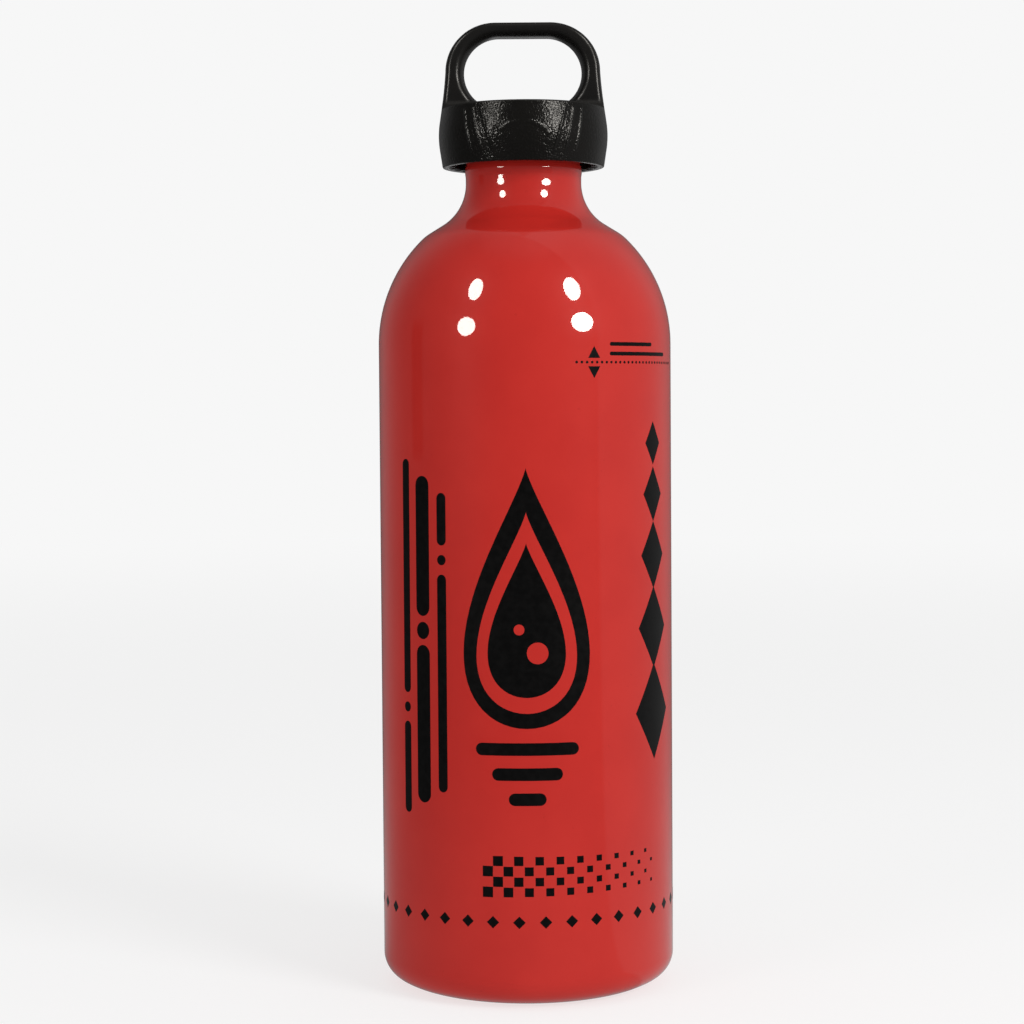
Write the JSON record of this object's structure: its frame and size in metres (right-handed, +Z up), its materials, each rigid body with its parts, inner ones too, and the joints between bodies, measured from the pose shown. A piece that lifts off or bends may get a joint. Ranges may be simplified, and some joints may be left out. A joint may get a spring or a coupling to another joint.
{
  "type": "camping fuel bottle",
  "caption": "Slim round metal fuel bottle with a domed shoulder and narrow threaded neck, closed by a push-and-turn screw cap with a carry loop.",
  "frame": {"origin": "centre of the flat standing ring under the base, on the bottle's axis", "axes": "+Z up the bottle's axis towards the cap, +X across the carry loop's width, +Y away from the picture's camera"},
  "size_m": [0.073, 0.073, 0.2396],
  "materials": {
    "red_enamel": "glossy red enamel outside, bare drawn aluminium inside the neck",
    "seal_rubber": "matte",
    "stopper_plastic": "satin moulded",
    "spring_steel": "bright drawn wire",
    "black_plastic": "satin with a fine spark-eroded grain"
  },
  "bodies": {
    "bottle": {"bottle_body": "red_enamel"},
    "seal": {"mouth_seal": "seal_rubber"},
    "plug": {"stopper": "stopper_plastic"},
    "spring": {"return_spring": "spring_steel"},
    "cap": {"cap_shell": "black_plastic"}
  },
  "joints": [
    {"name": "cap_rise", "type": "slide", "parent": "bottle", "child": "seal", "axis": [0, 0, 1], "range_m": [0, 0.012]},
    {"name": "unscrew", "type": "hinge", "parent": "seal", "child": "plug", "pos_m": [0, 0, 0.204], "axis": [0, 0, 1], "range_deg": [0, 1446]},
    {"name": "free_turn", "type": "hinge", "parent": "plug", "child": "spring", "pos_m": [0, 0, 0.213], "axis": [0, 0, 1], "continuous": true},
    {"name": "press_down", "type": "slide", "parent": "spring", "child": "cap", "axis": [0, 0, 1], "range_m": [-0.002, 0], "stiffness_N_per_m": 1500, "springref_m": 0.0004, "deforming": ["return_spring"]}
  ],
  "couplings": [
    {"joint": "unscrew", "follows": "cap_rise", "rad_per_m": 2094.4}
  ]
}
